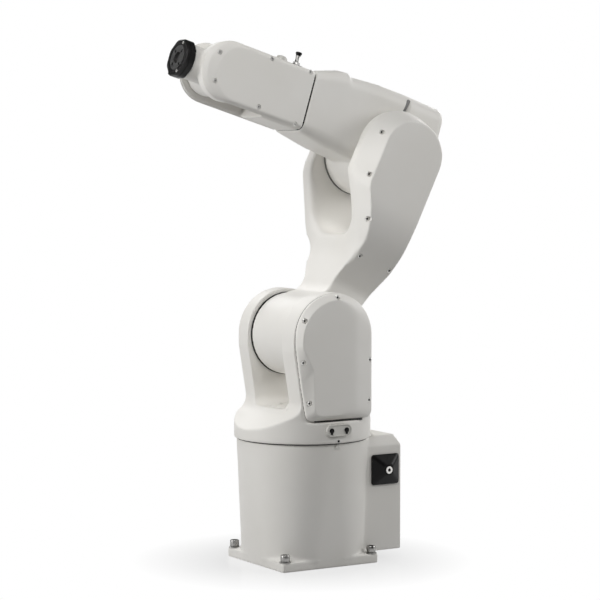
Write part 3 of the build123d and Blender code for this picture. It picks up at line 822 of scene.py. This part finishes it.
# Painted shade: a grey strip in the groove darkens it
skinned("elbow_groove_shade", "elbow", "seal_and_shade_grey",
        [rounded(6, 28, 1.8, -6), rounded(6, 28, 1.8, -3.2), rounded(5.2, 27, 1.6, -2.8)],
        [moved(groove, y=SHADE_STRIP_DROP)])

# Forearm: core and both side covers. Their screws are rows along and across the forearm from axis 5
WRIST_SCREWS = [(30.5, 24.4), (26, -24.8), (-68.8, 45.5), (-149, 48), (-67.2, -40.9), (-145, -47.5)]
forearm_mesh = soft_skin(["forearm_casting"], voxel=1.7, rounds=3)
finished("forearm_cast", forearm_mesh, "forearm", "arm_paint", ["forearm_casting"])
wrist_points = [(AXIS_5.x + u, 0, AXIS_5.z + n) for u, n in WRIST_SCREWS]
for side_name, side in (("near", LEFT), ("far", RIGHT)):
    node_name = f"wrist_cover_{side_name}"
    wrist_mesh = soft_skin([node_name], voxel=1.4, rounds=7)
    wrist_seats = seats_on(wrist_mesh, FOREARM, wrist_points, side, depth=1.4)
    wrist_mesh = cut(wrist_mesh, pockets(wrist_seats, radius=4.3))
    finished(node_name + "_cast", wrist_mesh, "forearm", "arm_paint", [node_name])
    screws(f"wrist_screws_{side_name}", "forearm", wrist_seats, radius=3.9, height=1.6, across=2)

# Forearm: air fitting and socket cap on its top
FOREARM_HALF = 53.5
FITTING_BACK = 129
FITTING_Y = 28
CAP_BACK = 99
CAP_Y = 26
forearm_top = AXIS_5.z + FOREARM_HALF
fitting = looking(FOREARM, (AXIS_5.x - FITTING_BACK, FITTING_Y, forearm_top), UP)
skinned("fitting_plate", "forearm", "black_anodised",
        [rounded(22, 13, 3, -0.6), rounded(22, 13, 3, 1), rounded(21, 12, 2.6, 1.4)], [fitting])
skinned("air_fitting_body", "forearm", "bolt_zinc",
        [polygon(HEX, 10.4, 1.2), polygon(HEX, 10.4, 6), circle(4.4, 7), circle(4.2, 7.4), circle(4.2, 18)],
        [fitting], ["air_fitting"])
turned("air_fitting_collar", "forearm", "black_plastic",
       [(4.6, 17.6), (4.6, 20.2), (5.6, 20.8), (5.6, 23.4), (5, 24), (2.6, 24), (2.4, 23.6), (2.4, 19)],
       [fitting])
socket = looking(FOREARM, (AXIS_5.x - CAP_BACK, CAP_Y, forearm_top), UP)
turned("socket_cap_dome", "forearm", "pale_plastic",
       [(11.5, -0.5), (11.5, 2.6), (11, 3.2), (10.4, 3.4), (10.2, 4.2), (9.2, 5.8), (7.4, 7), (4.8, 7.7),
        (1.6, 8)], [socket], ["socket_cap"])

# Wrist and tool flange; heights are measured from the tool's face
FLANGE_BACK = -18.2
FACETS = 8
FACET_ACROSS = 64.6
FACET_CORNER_R = 33.8
FLANGE_SCREWS = (70.9, -64)
FLANGE_SCREW_R = 27
FLANGE_SCREW_SUNK = -0.6
LUG_TURN = -113
LUG_R = 29.5


def facets(height, inset=0.0):
    """The flange's faceted outline, all round smaller by an inset."""
    return polygon(FACETS, FACET_ACROSS - 2 * inset, height, FACET_CORNER_R - inset)


tilt_mesh = soft_skin(["tilt_housing"], voxel=1.5, rounds=5)
finished("tilt_cast", tilt_mesh, "wrist", "arm_paint", ["tilt_housing"])
flange = looking(FOREARM, TOOL_FACE, FORWARD)
skinned("flange_ring_turned", "flange", "black_anodised",
        [circle(30.6, FLANGE_BACK), facets(FLANGE_BACK + 1.4), facets(-8), facets(-7.4, 1), facets(-6.2, 1),
         facets(-5.6), facets(-1.6), facets(0, 1.5), circle(25, 0), circle(24.4, -0.8), circle(22.4, -0.8),
         circle(22.1, -1.2), circle(22.1, -12)], [flange], ["flange_ring"])
flange_seats = [moved(spun(flange, turn), FLANGE_SCREW_R, z=FLANGE_SCREW_SUNK) for turn in FLANGE_SCREWS]
screws("flange_screws", "flange", flange_seats, radius=2.6, height=1.8, across=2.2)
skinned("flange_lug", "flange", "black_anodised",
        [rounded(8, 11, 2, -10), rounded(8, 11, 2, -0.6), rounded(7, 10, 1.6, 0.4)],
        [moved(spun(flange, LUG_TURN), LUG_R)])

# Floor; from here on lengths are in metres
FLOOR_HALF = 12.0
FLOOR_TONE = (0.45, 0.45, 0.45)
SHADE_NEAR = 0.14
SHADE_FAR = 0.30
SHADE_WHITE = 0.72
bm = bmesh.new()
bmesh.ops.create_grid(bm, x_segments=2, y_segments=2, size=FLOOR_HALF)
floor = bpy.data.objects.new("floor", mesh_from(bm, "floor"))
scene.collection.objects.link(floor)


def math_node(tree, operation, first, second):
    node = tree.nodes.new("ShaderNodeMath")
    node.operation = operation
    tree.links.new(first, node.inputs[0])
    tree.links.new(second, node.inputs[1])
    return node.outputs["Value"]


def floor_material():
    """Pale floor, white as seen, apart from the soft shade and faint mirror image at the foot."""
    material, tree, shader = new_material("floor", FLOOR_TONE, 0.16)
    shader.inputs["Specular IOR Level"].default_value = 0.35
    where = tree.nodes.new("ShaderNodeTexCoord")
    spread = tree.nodes.new("ShaderNodeVectorMath")
    spread.operation = "LENGTH"
    tree.links.new(where.outputs["Object"], spread.inputs[0])
    near = remap(tree, spread.outputs["Value"], SHADE_NEAR, SHADE_FAR, SHADE_WHITE, 1)
    path = tree.nodes.new("ShaderNodeLightPath")
    looked_at = math_node(tree, "MAXIMUM", path.outputs["Is Camera Ray"], path.outputs["Is Glossy Ray"])
    share = math_node(tree, "MULTIPLY", looked_at, near)
    white = tree.nodes.new("ShaderNodeEmission")
    mix = tree.nodes.new("ShaderNodeMixShader")
    tree.links.new(share, mix.inputs["Fac"])
    tree.links.new(shader.outputs["BSDF"], mix.inputs[1])
    tree.links.new(white.outputs["Emission"], mix.inputs[2])
    tree.links.new(mix.outputs["Shader"], tree.nodes["Material Output"].inputs["Surface"])
    return material


floor.data.materials.append(floor_material())

# Light: a white ground behind, nearly dark as a lamp, and six softboxes
AMBIENT = 0.03
world = bpy.data.worlds.new("studio")
scene.world = world
world.use_nodes = True
sky = world.node_tree
background = sky.nodes["Background"]
path = sky.nodes.new("ShaderNodeLightPath")
seen = math_node(sky, "MAXIMUM", path.outputs["Is Camera Ray"], path.outputs["Is Transmission Ray"])
sky.links.new(remap(sky, seen, 0, 1, AMBIENT, 1), background.inputs["Strength"])
background.inputs["Color"].default_value = (1, 1, 1, 1)


def softbox(name, place, target, width, height, power):
    light = bpy.data.lights.new(name, "AREA")
    light.shape = "RECTANGLE"
    light.size = width
    light.size_y = height
    light.energy = power
    lamp = bpy.data.objects.new(name, light)
    lamp.location = place
    lamp.rotation_euler = (Vector(target) - Vector(place)).to_track_quat("-Z", "Y").to_euler()
    scene.collection.objects.link(lamp)


ELBOW_HEIGHT = (0, 0, 0.6)
SHOULDER_HEIGHT = (0, 0, 0.5)
softbox("key", (0.6, 1.15, 1.85), ELBOW_HEIGHT, width=0.7, height=0.7, power=11)
softbox("front", (1.3, 0.3, 1.5), ELBOW_HEIGHT, width=0.7, height=0.7, power=7.5)
softbox("left", (2.39, -0.87, 1.0), SHOULDER_HEIGHT, width=1.2, height=1.2, power=29)
softbox("right", (-2.3, 1.0, 1.35), SHOULDER_HEIGHT, width=1.2, height=1.4, power=32)
softbox("rear", (-2.2, -1.2, 1.3), SHOULDER_HEIGHT, width=1.2, height=1.2, power=26)
softbox("back", (-0.2, -2.5, 1.9), SHOULDER_HEIGHT, width=1.2, height=1.2, power=24)

# Camera, as fitted to the photograph
EYE_AZIMUTH = math.radians(58.69)
EYE_YAW = math.radians(0.06)
EYE_PITCH = math.radians(3.83)
EYE_DISTANCE = 3.871
EYE_HEIGHT = 0.720
FOCAL_PIXELS = 2203
IMAGE_PIXELS = 600
SENSOR_WIDTH = 36
CLIP_END = 100
camera_data = bpy.data.cameras.new("camera")
camera = bpy.data.objects.new("camera", camera_data)
scene.collection.objects.link(camera)
scene.camera = camera
camera_data.sensor_width = SENSOR_WIDTH
camera_data.lens = SENSOR_WIDTH * FOCAL_PIXELS / IMAGE_PIXELS
camera_data.clip_end = CLIP_END
gaze = EYE_AZIMUTH + EYE_YAW
towards_eye = Vector((math.cos(gaze) * math.cos(EYE_PITCH), math.sin(gaze) * math.cos(EYE_PITCH),
                      math.sin(EYE_PITCH)))
camera.location = (EYE_DISTANCE * math.cos(EYE_AZIMUTH), EYE_DISTANCE * math.sin(EYE_AZIMUTH), EYE_HEIGHT)
camera.rotation_euler = (-towards_eye).to_track_quat("-Z", "Y").to_euler()

scene.view_settings.view_transform = "Standard"
